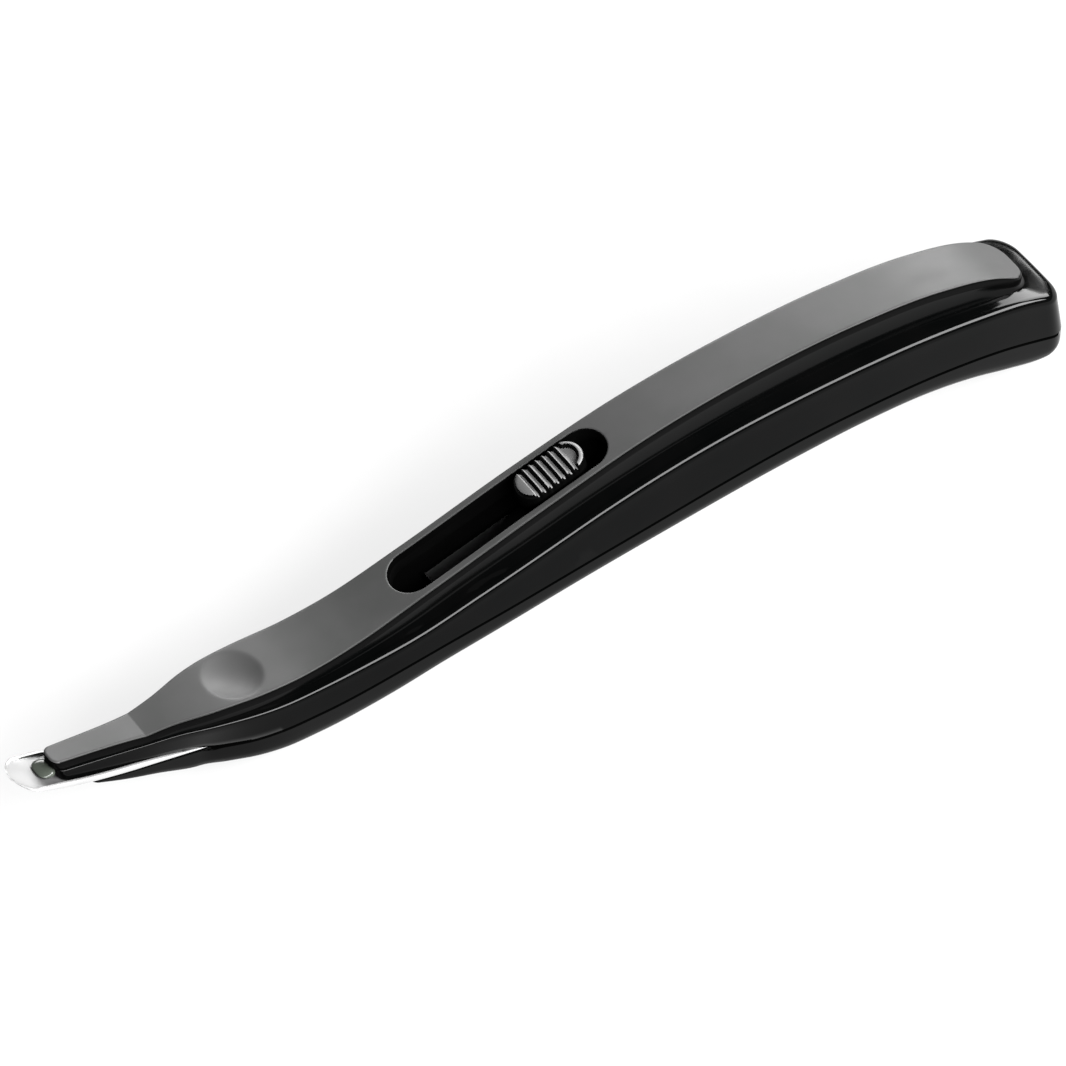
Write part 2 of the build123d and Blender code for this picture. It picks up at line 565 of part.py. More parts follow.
def make_detent_spring():
    """Leaf spring across the carriage; its bowed arms press on the rails."""
    chord = SPRING_U[1] - SPRING_U[0]
    rise = SPRING_REACH - SPRING_ROOT
    radius = (chord**2 / 4 + rise**2) / (2 * rise)
    middle = (SPRING_U[0] + SPRING_U[1]) / 2
    height = SPRING_N[1] - SPRING_N[0]
    spring = slide_box(SPRING_U[1] - SPRING_SHEET, SPRING_U[1], SPRING_ROOT, *SPRING_N)
    for side in (1, -1):
        centre = SLIDE * Pos(middle, side * (SPRING_REACH - radius), sum(SPRING_N) / 2)
        bow = centre * Cylinder(radius, height) - centre * Cylinder(radius - SPRING_SHEET,
                                                                    height + 1)
        spring += bow & slide_box(*SPRING_U, SPRING_REACH + 1, *SPRING_N) & (
            SLIDE * Pos(middle, side * (SPRING_ROOT + 1.9), -5) * Box(20, 4.3, 20))
    return spring


PIECES = {
    "top_strip": make_top_strip,
    "upper_shell": make_upper_shell,
    "lower_shell": make_lower_shell,
    "blade": make_blade,
    "tip_insert": make_tip_insert,
    "slide_track": make_slide_track,
    "slide_button": make_slide_button,
    "slide_carriage": make_slide_carriage,
    "magnet": make_magnet,
    "detent_spring": make_detent_spring,
}

if __name__ == "__main__":
    os.makedirs("parts", exist_ok=True)
    for name, make in PIECES.items():
        export_step(Pos(-TOTAL_LENGTH / 2, 0, 0) * make(), "parts/" + name + ".step")
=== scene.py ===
from math import asin, cos, hypot, pi, radians, sin, sqrt

import bmesh
import bpy
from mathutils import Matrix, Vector


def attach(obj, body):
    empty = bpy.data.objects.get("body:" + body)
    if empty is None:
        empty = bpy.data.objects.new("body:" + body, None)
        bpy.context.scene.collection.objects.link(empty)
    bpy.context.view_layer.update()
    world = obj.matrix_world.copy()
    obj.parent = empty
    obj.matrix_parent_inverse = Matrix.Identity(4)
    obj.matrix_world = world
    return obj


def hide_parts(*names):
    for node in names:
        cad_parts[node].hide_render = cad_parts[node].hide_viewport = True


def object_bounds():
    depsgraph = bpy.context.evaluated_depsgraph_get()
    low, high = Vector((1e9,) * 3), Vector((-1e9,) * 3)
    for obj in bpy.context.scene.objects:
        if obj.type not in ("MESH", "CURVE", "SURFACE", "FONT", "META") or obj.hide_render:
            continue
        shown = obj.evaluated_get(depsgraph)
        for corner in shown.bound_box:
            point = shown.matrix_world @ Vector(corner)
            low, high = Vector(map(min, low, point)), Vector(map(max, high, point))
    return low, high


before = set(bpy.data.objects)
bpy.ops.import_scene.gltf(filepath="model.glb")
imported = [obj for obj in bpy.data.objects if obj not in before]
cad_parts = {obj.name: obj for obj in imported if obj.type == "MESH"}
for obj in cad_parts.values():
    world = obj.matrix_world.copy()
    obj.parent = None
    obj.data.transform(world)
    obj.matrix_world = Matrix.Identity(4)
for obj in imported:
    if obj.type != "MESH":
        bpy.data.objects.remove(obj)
cad_box = [list(corner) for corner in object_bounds()]
scene = bpy.context.scene
MM = 0.001
TIP = cad_box[0][0]         # the blade's tip; everything below is laid out from it, in mm

# ------------------------------------------------------------------ driving dimensions, in mm
TOTAL_LENGTH = 164.4
SKIN = 0.003                # how far inside the CAD solids the meshes end
TAIL_BOW = 0.25             # how far the butt bulges backwards

NOSE_FRONT, STRIP_END = 5.6, 159.3
STRIP_THICK = 1.4
STRIP_EDGE = 0.4
STRIP_NOSE_ROUND, STRIP_TAIL_ROUND = 1.3, 3.2
CREASE = 19.0
DIMPLE_AT, DIMPLE_RADIUS, DIMPLE_DEPTH = 33.6, 4.1, 0.85
DIMPLE_SOFT = 0.06          # rounding of the dimple's edge, as a share of its radius
SLOT_FRONT, SLOT_REAR, SLOT_WIDTH = 58.2, 91.6, 6.4
SLOT_EDGE = 0.3

SHELL_FRONT = 6.1
SHELL_NOSE_ROUND = 1.2
FLANGE = 0.9                # width of the shell's lip under the strip
FOOT_OUT, FOOT_DOWN = 0.2, 0.9      # foot of the shoulder's wall, as shares of the way to the rim
RIM_END = 163.5
RIM_ROUND = 1.15
RIM_TAIL_EDGE, RIM_TAIL_ROUND = 0.9, 3.2
BUTT_ROUND = 3.6
BLADE_ROOM = 0.55           # gap between the shells that the blade fills
LOWER_FRONT, LOWER_NOSE_ROUND = 10.2, 1.0
WAIST = 27.0                # behind here the shells meet at the parting line
GROOVE_HEIGHT, GROOVE_DEPTH = 0.35, 0.5
BELLY_CORNER = 2.0          # roundness of the butt's corners down at the belly
SEAM = 0.08
HAIRLINE = 0.02             # smallest gap or overlap between neighbours

BUTTON_FRONT, BUTTON_REAR, BUTTON_WIDTH = 77.8, 88.2, 5.3
BUTTON_PROUD, BUTTON_BASE = 1.1, -2.9
BUTTON_GAP = 0.03
PAD_LENGTH, PAD_FALL = 2.25, 0.7
RIB_COUNT, RIB_PITCH, RIB_HEIGHT = 6, 1.05, 0.6

BLADE_WIDTH, BLADE_SHEET, BLADE_LIP, BLADE_CORNER = 6.7, 0.5, 1.1, 0.55
TANG_HALF, TANG_START, TANG_END = 2.5, 30.0, 53.0
INSERT_FRONT, INSERT_REAR, INSERT_HALF = 3.7, 6.3, 1.65

# Side view: (distance from the tip, height)
NOSE_TOP = [(NOSE_FRONT, 16.45), (CREASE, 13.6)]
BACK = [(CREASE, 13.6), (24.0, 13.8), (30.0, 13.8), (36.0, 13.25), (43.0, 12.8), (50.0, 13.3),
        (62.0, 15.95), (80.0, 20.5), (96.0, 23.8), (114.0, 25.15), (130.0, 24.6),
        (144.0, 22.4), (153.0, 19.35), (STRIP_END, 15.55)]
RIM = [(NOSE_FRONT, 14.9), (19.0, 12.1), (28.0, 11.5), (38.0, 10.4), (48.0, 10.1), (58.0, 10.8),
       (68.0, 12.95), (78.0, 15.0), (88.0, 17.0), (98.0, 18.4), (108.0, 19.2), (118.0, 19.4),
       (128.0, 19.15), (138.0, 18.35), (148.0, 16.8), (156.0, 15.0), (RIM_END, 12.2)]
PARTING = [(28.0, 6.5), (38.0, 6.25), (48.0, 6.1), (58.0, 6.9), (68.0, 8.05), (80.0, 9.35),
           (94.0, 10.65), (108.0, 11.8), (118.0, 12.2), (130.0, 11.85), (142.0, 10.75),
           (152.0, 8.9), (TOTAL_LENGTH, 5.1)]
BELLY = [(LOWER_FRONT, 10.8), (15.0, 7.95), (20.0, 5.35), (26.0, 2.25), (32.0, 1.3), (39.0, 0.35),
         (47.0, 0.0), (54.0, 0.55), (63.0, 1.95), (78.0, 4.05), (98.0, 5.8), (118.0, 6.65),
         (130.0, 6.5), (140.0, 5.6), (148.0, 3.85), (154.0, 1.9), (159.5, 0.35),
         (TOTAL_LENGTH, 0.0)]
BLADE = [(-1.0, 16.5), (0.0, 15.9), (2.2, 14.75), (5.3, 13.2), (14.2, 9.85), (20.2, 8.15),
         (26.2, 6.5), (32.0, 4.9), (38.0, 3.5), (42.0, 3.05), (45.0, 3.3), (48.0, 4.0),
         (53.0, 5.25)]

# Plan view: (distance from the tip, half width)
STRIP_HALF = [(NOSE_FRONT, 1.65), (18.0, 2.3), (23.0, 2.95), (28.0, 4.1), (33.0, 4.75),
              (38.0, 4.95), (44.0, 4.8), (52.0, 4.55), (80.0, 4.35), (110.0, 4.15),
              (140.0, 4.15), (TOTAL_LENGTH, 4.2)]
SHOULDER = [(NOSE_FRONT, 0.3), (22.0, 0.35), (30.0, 0.65), (38.0, 1.1), (47.0, 1.5),
            (58.0, 2.05), (70.0, 2.4), (82.0, 2.45), (105.0, 2.55), (126.0, 2.85),
            (TOTAL_LENGTH, 2.95)]
PARTING_HALF = [(NOSE_FRONT, 2.35), (18.0, 2.75), (24.0, 3.05), (27.0, 3.5), (30.0, 4.6),
                (33.0, 5.6), (37.0, 6.35), (43.0, 6.65), (50.0, 6.75), (60.0, 6.95),
                (72.0, 7.4), (88.0, 7.6), (118.0, 7.7), (TOTAL_LENGTH, 7.7)]
LOWER_HALF = [(LOWER_FRONT, 3.2), (20.0, 3.3), (25.0, 3.4)] + PARTING_HALF[3:]
LOWER_ROUND = [(LOWER_FRONT, 0.3), (16.0, 1.0), (24.0, 2.0), (34.0, 2.9), (44.0, 3.5), (56.0, 3.4),
               (100.0, 3.3), (120.0, 3.5), (TOTAL_LENGTH, 3.5)]

SIDE_STEPS = 230            # quads along each side of a shell
NOSE_TURNS, TAIL_TURNS = 6, 10


def curve(points):
    """Smooth value at any x through the given points: cubic between them, straight beyond."""
    xs = [x for x, _ in points]
    ys = [y for _, y in points]
    step = [(ys[i + 1] - ys[i]) / (xs[i + 1] - xs[i]) for i in range(len(xs) - 1)]
    slope = [step[0]]
    for i in range(1, len(step)):
        before, after = xs[i] - xs[i - 1], xs[i + 1] - xs[i]
        slope.append((step[i - 1] * after + step[i] * before) / (before + after))
    slope.append(step[-1])

    def value(x):
        if x <= xs[0]:
            return ys[0] + slope[0] * (x - xs[0])
        if x >= xs[-1]:
            return ys[-1] + slope[-1] * (x - xs[-1])
        i = max(k for k in range(len(xs) - 1) if xs[k] <= x)
        h = xs[i + 1] - xs[i]
        t = (x - xs[i]) / h
        start = (2 * t**3 - 3 * t**2 + 1) * ys[i] + (t**3 - 2 * t**2 + t) * h * slope[i]
        end = (3 * t**2 - 2 * t**3) * ys[i + 1] + (t**3 - t**2) * h * slope[i + 1]
        return start + end

    return value


nose_top, back_top = curve(NOSE_TOP), curve(BACK)
rim_z, joint_z, belly_z, blade_z = curve(RIM), curve(PARTING), curve(BELLY), curve(BLADE)
strip_y, shoulder_y = curve(STRIP_HALF), curve(SHOULDER)
upper_y, lower_y, lower_round = curve(PARTING_HALF), curve(LOWER_HALF), curve(LOWER_ROUND)


def back_z(x):
    """Height of the strip's satin surface."""
    return (nose_top(x) if x < CREASE else back_top(x)) - SKIN


def seat_z(x):
    return back_z(x) - STRIP_THICK


def rim_y(x):
    return strip_y(x) + shoulder_y(x)


def split_z(x, rise=0.0):
    """Where the shells meet; ahead of the waist they clasp the blade."""
    waist = min(max((x - WAIST) / 2.0, 0.0), 1.0)
    return (1 - waist) * (blade_z(x) + rise) + waist * joint_z(x)


def upper_bottom(x):
    """Lower edge of the upper shell."""
    return split_z(x, BLADE_ROOM)


def ease(x, low, high):
    """Smooth step from 0 at low to 1 at high."""
    t = min(max((x - low) / (high - low), 0.0), 1.0)
    return t * t * (3 - 2 * t)


# ------------------------------------------------------------------ materials
def material(name, colour, other, rough, rough_spread, grain, bump, metal=0.0, specular=0.17):
    """Surface with a mottled colour, uneven gloss and a fine raised grain.

    colour and other are the two tones, grain the size of the grain in mm and bump its height."""
    m = bpy.data.materials.new(name)
    m.use_nodes = True
    nodes, links = m.node_tree.nodes, m.node_tree.links
    shader = nodes["Principled BSDF"]
    shader.inputs["Metallic"].default_value = metal
    shader.inputs["Specular IOR Level"].default_value = specular
    place = nodes.new("ShaderNodeTexCoord")

    def noise(size, detail, stretch=(1, 1, 1)):
        scale = nodes.new("ShaderNodeMapping")
        scale.inputs["Scale"].default_value = stretch
        texture = nodes.new("ShaderNodeTexNoise")
        texture.inputs["Scale"].default_value = 1 / (size * MM)
        texture.inputs["Detail"].default_value = detail
        links.new(place.outputs["Object"], scale.inputs["Vector"])
        links.new(scale.outputs["Vector"], texture.inputs["Vector"])
        return texture.outputs["Fac"]

    def span(source, low, high, to_low, to_high):
        spread = nodes.new("ShaderNodeMapRange")
        spread.inputs["From Min"].default_value = low
        spread.inputs["From Max"].default_value = high
        spread.inputs["To Min"].default_value = to_low
        spread.inputs["To Max"].default_value = to_high
        links.new(source, spread.inputs["Value"])
        return spread.outputs["Result"]

    def blend(share, tone, target):
        mix = nodes.new("ShaderNodeMix")
        mix.data_type = "RGBA"
        mix.inputs["B"].default_value = (*target, 1)
        links.new(share, mix.inputs["Factor"])
        if isinstance(tone, tuple):
            mix.inputs["A"].default_value = (*tone, 1)
        else:
            links.new(tone, mix.inputs["A"])
        return mix.outputs["Result"]

    mottled = blend(span(noise(9.0, 4), 0.35, 0.65, 0, 1), colour, other)
    # a little paler where edges are rubbed
    edges = nodes.new("ShaderNodeNewGeometry").outputs["Pointiness"]
    rubbed = tuple(min(1.6 * c + 0.0002, 1.0) for c in other)
    links.new(blend(span(edges, 0.52, 0.6, 0, 0.6), mottled, rubbed), shader.inputs["Base Color"])
    links.new(span(noise(2.5, 5, (0.35, 1, 1)), 0.3, 0.7, rough - rough_spread,
                   rough + rough_spread), shader.inputs["Roughness"])
    raised = nodes.new("ShaderNodeBump")
    raised.inputs["Strength"].default_value = 1.0
    raised.inputs["Distance"].default_value = bump * MM
    links.new(noise(grain, 2), raised.inputs["Height"])
    links.new(raised.outputs["Normal"], shader.inputs["Normal"])
    return m


def grey(value):
    return (value, value, value)


GLOSS = material("gloss_black", (0.0003, 0.00035, 0.00035), grey(0.0005),
                 rough=0.075, rough_spread=0.02, grain=1.5, bump=0.0012, specular=0.068)
SATIN = material("satin_black", (0.0145, 0.0148, 0.0145), grey(0.0175),
                 rough=0.46, rough_spread=0.035, grain=0.12, bump=0.004, specular=0.11)
# painted shade: a darker black with weaker reflection, laid on steep or downward faces to darken
# them
SHADE_BLACK = material("painted_shade_black", grey(0.0003), grey(0.0005),
                rough=0.2, rough_spread=0.04, grain=0.6, bump=0.002, specular=0.03)
STEEL = material("bright_steel", grey(0.66), grey(0.74),
                 rough=0.22, rough_spread=0.06, grain=0.4, bump=0.002, metal=1.0)
# painted shade: a darker copy of the blade's steel, for its upward faces
SHADE_STEEL = material("painted_shade_steel", grey(0.11), grey(0.13),
                 rough=0.6, rough_spread=0.05, grain=0.4, bump=0.002, metal=1.0)
INSERT = material("dark_insert", (0.012, 0.014, 0.012), (0.02, 0.023, 0.019),
                  rough=0.18, rough_spread=0.05, grain=0.4, bump=0.01)
TRACK = material("track_black", grey(0.0002), grey(0.0004),
                 rough=0.45, rough_spread=0.08, grain=0.4, bump=0.004, specular=0.02)
BUTTON = material("button_black", grey(0.042), grey(0.05),
                  rough=0.42, rough_spread=0.04, grain=0.3, bump=0.003, specular=0.2)
CARRIAGE = material("carriage_black", grey(0.01), grey(0.02),
                    rough=0.4, rough_spread=0.06, grain=0.5, bump=0.006)
MAGNET = material("nickel_magnet", grey(0.5), grey(0.62),
                  rough=0.3, rough_spread=0.06, grain=0.5, bump=0.003, metal=1.0)
SPRING = material("spring_steel", (0.42, 0.41, 0.39), grey(0.55),
                  rough=0.32, rough_spread=0.06, grain=0.3, bump=0.003, metal=1.0)
look = {"top_strip": SATIN, "upper_shell": GLOSS, "lower_shell": GLOSS, "blade": STEEL,
        "tip_insert": INSERT, "slide_track": TRACK, "slide_button": BUTTON,
        "slide_carriage": CARRIAGE, "magnet": MAGNET, "detent_spring": SPRING}
for name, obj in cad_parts.items():
    obj.data.materials.clear()
    obj.data.materials.append(look[name])


# ------------------------------------------------------------------ mesh building
def ring(half, height, front, rear, nose_round, tail_round):
    """Closed loop of points round the handle, its half width and height given along x."""
    side_from, side_to = front + nose_round, rear - tail_round
    narrow, full = half(side_from) - nose_round, half(side_to)
    outline = [(front, narrow * k / 3) for k in range(3)]
    for k in range(NOSE_TURNS):
        turn = 0.5 * pi * k / NOSE_TURNS
        outline.append((front + nose_round * (1 - cos(turn)), narrow + nose_round * sin(turn)))
    for k in range(SIDE_STEPS + 1):
        x = side_from + (side_to - side_from) * k / SIDE_STEPS
        outline.append((x, half(x)))
    for k in range(1, TAIL_TURNS + 1):
        turn = 0.5 * pi * k / TAIL_TURNS
        y = full - tail_round * (1 - cos(turn))
        back = tail_round * (1 - sin(turn))
        outline.append((rear - back - TAIL_BOW * (y / full)**2 * sin(turn), y))
    for k in range(4, -1, -1):
        y = (full - tail_round) * k / 5
        outline.append((rear - TAIL_BOW * (y / full)**2, y))
    loop = [(x, -y) for x, y in outline] + [(x, y) for x, y in reversed(outline[1:-1])]
    return [Vector((TIP + x * MM, y * MM, height(x) * MM)) for x, y in loop]


def cap_faces(first, count):
    """Faces across a ring, joining each point to its mirror image."""
    faces = []
    for k in range(count // 2):
        corners = [first + k, first + k + 1, first + (count - k - 1) % count,
                   first + (count - k) % count]
        face = [v for i, v in enumerate(corners) if v not in corners[:i]]
        if len(face) > 2:
            faces.append(tuple(face))
    return faces


def loft(rings, closed=False, caps=False):
    """Points and quads of a skin through rings that all have the same number of points."""
    count = len(rings[0])
    verts = [v for r in rings for v in r]
    faces = []
    for r in range(len(rings) if closed else len(rings) - 1):
        below, above = r * count, (r + 1) % len(rings) * count
        for k in range(count):
            n = (k + 1) % count
            faces.append((below + k, below + n, above + n, above + k))
    if caps:
        faces += cap_faces(0, count)
        faces += cap_faces((len(rings) - 1) * count, count)
    return verts, faces


def mesh_piece(name, verts, faces, finish_or_shade, body, replaced, smooth_angle=40):
    """New smooth-shaded piece from points and faces, riding on a body."""
    mesh = bpy.data.meshes.new(name)
    mesh.from_pydata([tuple(v) for v in verts], [], faces)
    work = bmesh.new()
    work.from_mesh(mesh)
    bmesh.ops.remove_doubles(work, verts=work.verts, dist=2e-6)
    bmesh.ops.recalc_face_normals(work, faces=work.faces)
    if work.calc_volume(signed=True) < 0:
        bmesh.ops.reverse_faces(work, faces=work.faces)
    work.to_mesh(mesh)
    work.free()
    mesh.materials.append(finish_or_shade)
    obj = bpy.data.objects.new(name, mesh)
    scene.collection.objects.link(obj)
    mesh.shade_smooth()
    mesh.set_sharp_from_angle(angle=radians(smooth_angle))
    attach(obj, body)
    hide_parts(replaced)
    return obj


def paint_shade_by_normal(piece, finish_or_shade, chosen):
    """Give a second material to the faces whose normal is chosen; every use here paints shade."""
    piece.data.materials.append(finish_or_shade)
    for face in piece.data.polygons:
        if chosen(face.normal):
            face.material_index = 1


# ------------------------------------------------------------------ the upper shell
def shoulder_ring(out, down):
    """Ring of the shoulder: out is the share of the way to the bead, down the share of the drop."""
    return ring(lambda x: strip_y(x) - HAIRLINE + out * (shoulder_y(x) - bead(x)),
                lambda x: (1 - down) * seat_z(x) + down * rim_z(x), SHELL_FRONT,
                STRIP_END + out * (RIM_END - RIM_TAIL_EDGE - STRIP_END),
                SHELL_NOSE_ROUND, STRIP_TAIL_ROUND)


def bead(x):
    """Radius of the rim's rounding, smaller where the shoulder narrows."""
    return min(RIM_ROUND, 0.62 * shoulder_y(x))


def make_upper_shell():
    """Seat of the strip, steep wall, foot, rounded rim, side panel and the lip inside."""
    chamfer = 0.12
    lip_front, lip_rear, lip_depth = SHELL_FRONT + 1.0, STRIP_END - 1.2, 1.0

    def flange(x):
        return strip_y(x) - FLANGE

    rings = [
        ring(flange, lambda x: seat_z(x) - lip_depth, lip_front, lip_rear, 0.3, 1.2),
        ring(flange, seat_z, lip_front, lip_rear, 0.3, 1.2),
        ring(lambda x: strip_y(x) - 0.3, seat_z, SHELL_FRONT + 0.2, STRIP_END - 0.3, 1.0, 2.9),
        shoulder_ring(0.0, 0.0)]
    for k in range(1, 9):
        share = k / 8
        rings.append(shoulder_ring(FOOT_OUT * share**2, FOOT_DOWN * share))
    for k in range(1, 6):
        share = k / 6
        rings.append(shoulder_ring(FOOT_OUT + (1 - FOOT_OUT) * share,
                                   FOOT_DOWN + (1 - FOOT_DOWN) * share))
    for k in range(15):
        turn = 0.5 * pi * k / 14
        rings.append(ring(
            lambda x: rim_y(x) - bead(x) * (1 - sin(turn)),
            lambda x: rim_z(x) - bead(x) * (1 - cos(turn)),
            SHELL_FRONT, RIM_END - RIM_TAIL_EDGE * (1 - sin(turn)),
            SHELL_NOSE_ROUND, RIM_TAIL_ROUND))
    for share in (0.25, 0.5, 0.75, 1.0):
        rings.append(ring(
            lambda x: rim_y(x) + share * (upper_y(x) - rim_y(x)),
            lambda x: (1 - share) * (rim_z(x) - bead(x)) + share * (upper_bottom(x) + chamfer),
            SHELL_FRONT, RIM_END + share * (TOTAL_LENGTH - RIM_END),
            SHELL_NOSE_ROUND + 0.1 * share,
            RIM_TAIL_ROUND + share * (BUTT_ROUND - RIM_TAIL_ROUND)))
    rings.append(ring(lambda x: upper_y(x) - chamfer, upper_bottom, SHELL_FRONT + chamfer,
                      TOTAL_LENGTH - chamfer, SHELL_NOSE_ROUND, BUTT_ROUND - 0.1))
    rings.append(ring(lambda x: upper_y(x) - 1.0, upper_bottom, SHELL_FRONT + 0.9,
                      TOTAL_LENGTH - 1.0, 0.5, BUTT_ROUND - 0.8))
    verts, faces = loft(rings, closed=True)
    mesh_piece("upper_shell_skin", verts, faces, GLOSS, "handle", "upper_shell", 50)


def make_lower_shell():
    """Wedge under the blade, dark groove at the top, side, rounded belly, shallow hollow inside."""
    wall, hollow = 1.4, 0.4
    inner_front, inner_rear = LOWER_FRONT + wall, TOTAL_LENGTH - wall

    def parted(x):
        return ease(x, WAIST - 0.5, WAIST + 1.0)

    def top(x):
        return split_z(x) - SEAM

    def groove(x):
        return top(x) - GROOVE_HEIGHT * parted(x)

    def inset(x):
        return lower_y(x) - HAIRLINE - GROOVE_DEPTH * parted(x)

    rings = [
        ring(lambda x: lower_y(x) - wall, lambda x: top(x) - hollow * (top(x) - belly_z(x)),
             inner_front, inner_rear, 0.6, 2.4),
        ring(lambda x: lower_y(x) - wall, top, inner_front, inner_rear, 0.6, 2.4)]
    for height in (top, groove):
        rings.append(ring(inset, height, LOWER_FRONT, TOTAL_LENGTH - GROOVE_DEPTH,
                          LOWER_NOSE_ROUND, BUTT_ROUND - GROOVE_DEPTH))
    for share in (0.0, 0.5, 1.0):
        rings.append(ring(
            lower_y,
            lambda x: (1 - share) * groove(x) + share * (belly_z(x) + lower_round(x)),
            LOWER_FRONT, TOTAL_LENGTH, LOWER_NOSE_ROUND, BUTT_ROUND))
    for k in range(1, 13):
        turn = 0.5 * pi * k / 12
        out, drop = 1 - cos(turn), 1 - sin(turn)
        rings.append(ring(
            lambda x: lower_y(x) - out * lower_round(x),
            lambda x: belly_z(x) + SKIN + drop * lower_round(x),
            LOWER_FRONT, TOTAL_LENGTH - out * lower_round(TOTAL_LENGTH),
            LOWER_NOSE_ROUND, BUTT_ROUND - out * (BUTT_ROUND - BELLY_CORNER)))
    verts, faces = loft(rings, caps=True)
    shell = mesh_piece("lower_shell_skin", verts, faces, GLOSS, "handle", "lower_shell", 50)
    # painted shade: the belly's downward faces get the duller shade black, which darkens their
    # reflection of the floor as the shadow under the handle would
    paint_shade_by_normal(shell, SHADE_BLACK, lambda normal: normal.z < -0.3)


# ------------------------------------------------------------------ the satin strip
def slot_half(x, grow):
    """Half width of the slot's outline at x, the outline grown outwards by some amount."""
    radius = SLOT_WIDTH / 2 + grow
    front, rear = SLOT_FRONT + SLOT_WIDTH / 2, SLOT_REAR - SLOT_WIDTH / 2
    past = max(front - x, x - rear, 0.0)
    return sqrt(max(radius**2 - past**2, 0.0))


def dimple(x, y):
    """How far the thumb dimple sinks the strip, its edge slightly rounded."""
    away = hypot(x - DIMPLE_AT, y) / DIMPLE_RADIUS
    bowl = 1 - away**2
    rounded = 0.5 * (bowl + sqrt(bowl**2 + DIMPLE_SOFT**2))
    return DIMPLE_DEPTH * rounded * (1 - ease(away, 1.0, 1.4))


def strip_stations():
    """Places along the strip: close together at its ends, at the slot's ends and at the dimple."""
    xs = [NOSE_FRONT + STRIP_EDGE + 0.85 * (1 - cos(0.5 * pi * k / 8)) for k in range(9)]
    ends = [SLOT_FRONT - SLOT_EDGE, SLOT_FRONT + SLOT_WIDTH / 2, SLOT_REAR - SLOT_WIDTH / 2,
            SLOT_REAR + SLOT_EDGE]

    def run(to, step):
        start = xs[-1]
        count = max(int((to - start) / step), 1)
        xs.extend(start + (to - start) * (k + 1) / count for k in range(count))

    run(CREASE - 0.25, 0.6)
    run(CREASE + 0.25, 0.125)
    run(28.5, 0.4)
    run(39.0, 0.3)
    run(ends[0], 0.6)
    xs.extend(ends[0] + (ends[1] - ends[0]) * (1 - cos(0.5 * pi * k / 12)) for k in range(1, 13))
    run(ends[2], 0.7)
    xs.extend(ends[2] + (ends[3] - ends[2]) * sin(0.5 * pi * k / 12) for k in range(1, 13))
    run(STRIP_END - STRIP_TAIL_ROUND, 0.6)
    tail = xs[-1]
    xs.extend(tail + (STRIP_TAIL_ROUND - STRIP_EDGE) * sin(0.5 * pi * k / 10) for k in range(1, 11))
    return xs


def strip_out(x):
    """Half width of the strip's flat top, inside its rounded edge."""
    first, last = NOSE_FRONT + STRIP_NOSE_ROUND, STRIP_END - STRIP_TAIL_ROUND
    straight = strip_y(min(max(x, first), last)) - STRIP_EDGE
    radius = (STRIP_NOSE_ROUND if x < first else STRIP_TAIL_ROUND) - STRIP_EDGE
    into = max(first - x, x - last, 0.0)
    return straight - radius + sqrt(max(radius**2 - into**2, 0.0))


def border(run, ids, side, point, radius, outward):
    """Rounded edge and upright side along one run of places, out from the strip's flat top."""
    steps = 5
    normals = []
    for i in range(len(run)):
        a, b = run[max(i - 1, 0)], run[min(i + 1, len(run) - 1)]
        dx, dy = b[0] - a[0], b[1] - a[1]
        length = hypot(dx, dy) or 1.0
        normals.append((-outward * dy / length, outward * dx / length))
    # the run starts and ends on the middle line, where its outside faces straight along x
    normals[0] = (-outward, 0.0)
    normals[-1] = (outward, 0.0)
    rows = [ids]
    for k in range(1, steps + 2):
        turn = 0.5 * pi * min(k, steps) / steps
        out, drop = radius * sin(turn), radius * (1 - cos(turn))
        row = []
        for (x, y), (nx, ny) in zip(run, normals):
            px, py = x + out * nx, max(y + out * ny, 0.0)
            height = back_z(px) - drop if k <= steps else seat_z(px) + HAIRLINE
            row.append(point(px, side * py, height))
        rows.append(row)
    faces = []
    for a, b in zip(rows, rows[1:]):
        faces += [(a[k], a[k + 1], b[k + 1], b[k]) for k in range(len(a) - 1)]
    return faces


def make_top_strip():
    """Top, rounded outer edge, side, slot lip and slot wall of the satin strip."""
    xs = strip_stations()
    across = 14
    verts, faces = [], []

    def point(x, y, z):
        verts.append(Vector((TIP + x * MM, y * MM, z * MM)))
        return len(verts) - 1

    for side in (-1, 1):
        grid = []
        for x in xs:
            inner, outer = slot_half(x, SLOT_EDGE), strip_out(x)
            grid.append([(x, inner + (outer - inner) * k / across) for k in range(across + 1)])
        top = [[point(x, side * y, back_z(x) - dimple(x, y)) for x, y in c] for c in grid]
        for a, b in zip(top, top[1:]):
            faces += [(a[k], b[k], b[k + 1], a[k + 1]) for k in range(across)]
        edge = grid[0] + [c[-1] for c in grid[1:-1]] + list(reversed(grid[-1]))
        edge_ids = top[0] + [c[-1] for c in top[1:-1]] + list(reversed(top[-1]))
        faces += border(edge, edge_ids, side, point, STRIP_EDGE, 1)
        lip = [(c[0], t[0]) for c, t in zip(grid, top)
               if SLOT_FRONT - SLOT_EDGE - 1e-6 <= c[0][0] <= SLOT_REAR + SLOT_EDGE + 1e-6]
        faces += border([c for c, _ in lip], [t for _, t in lip], side, point, SLOT_EDGE, -1)
    strip = mesh_piece("top_strip_skin", verts, faces, SATIN, "handle", "top_strip", 50)
    # painted shade: the strip's steep faces (its side, its slot wall and the outer part of its
    # rounded edge) get the dark shade black, which darkens them and dulls the edge's highlight;
    # only the top keeps the satin
    paint_shade_by_normal(strip, SHADE_BLACK, lambda normal: abs(normal.z) < 0.72)


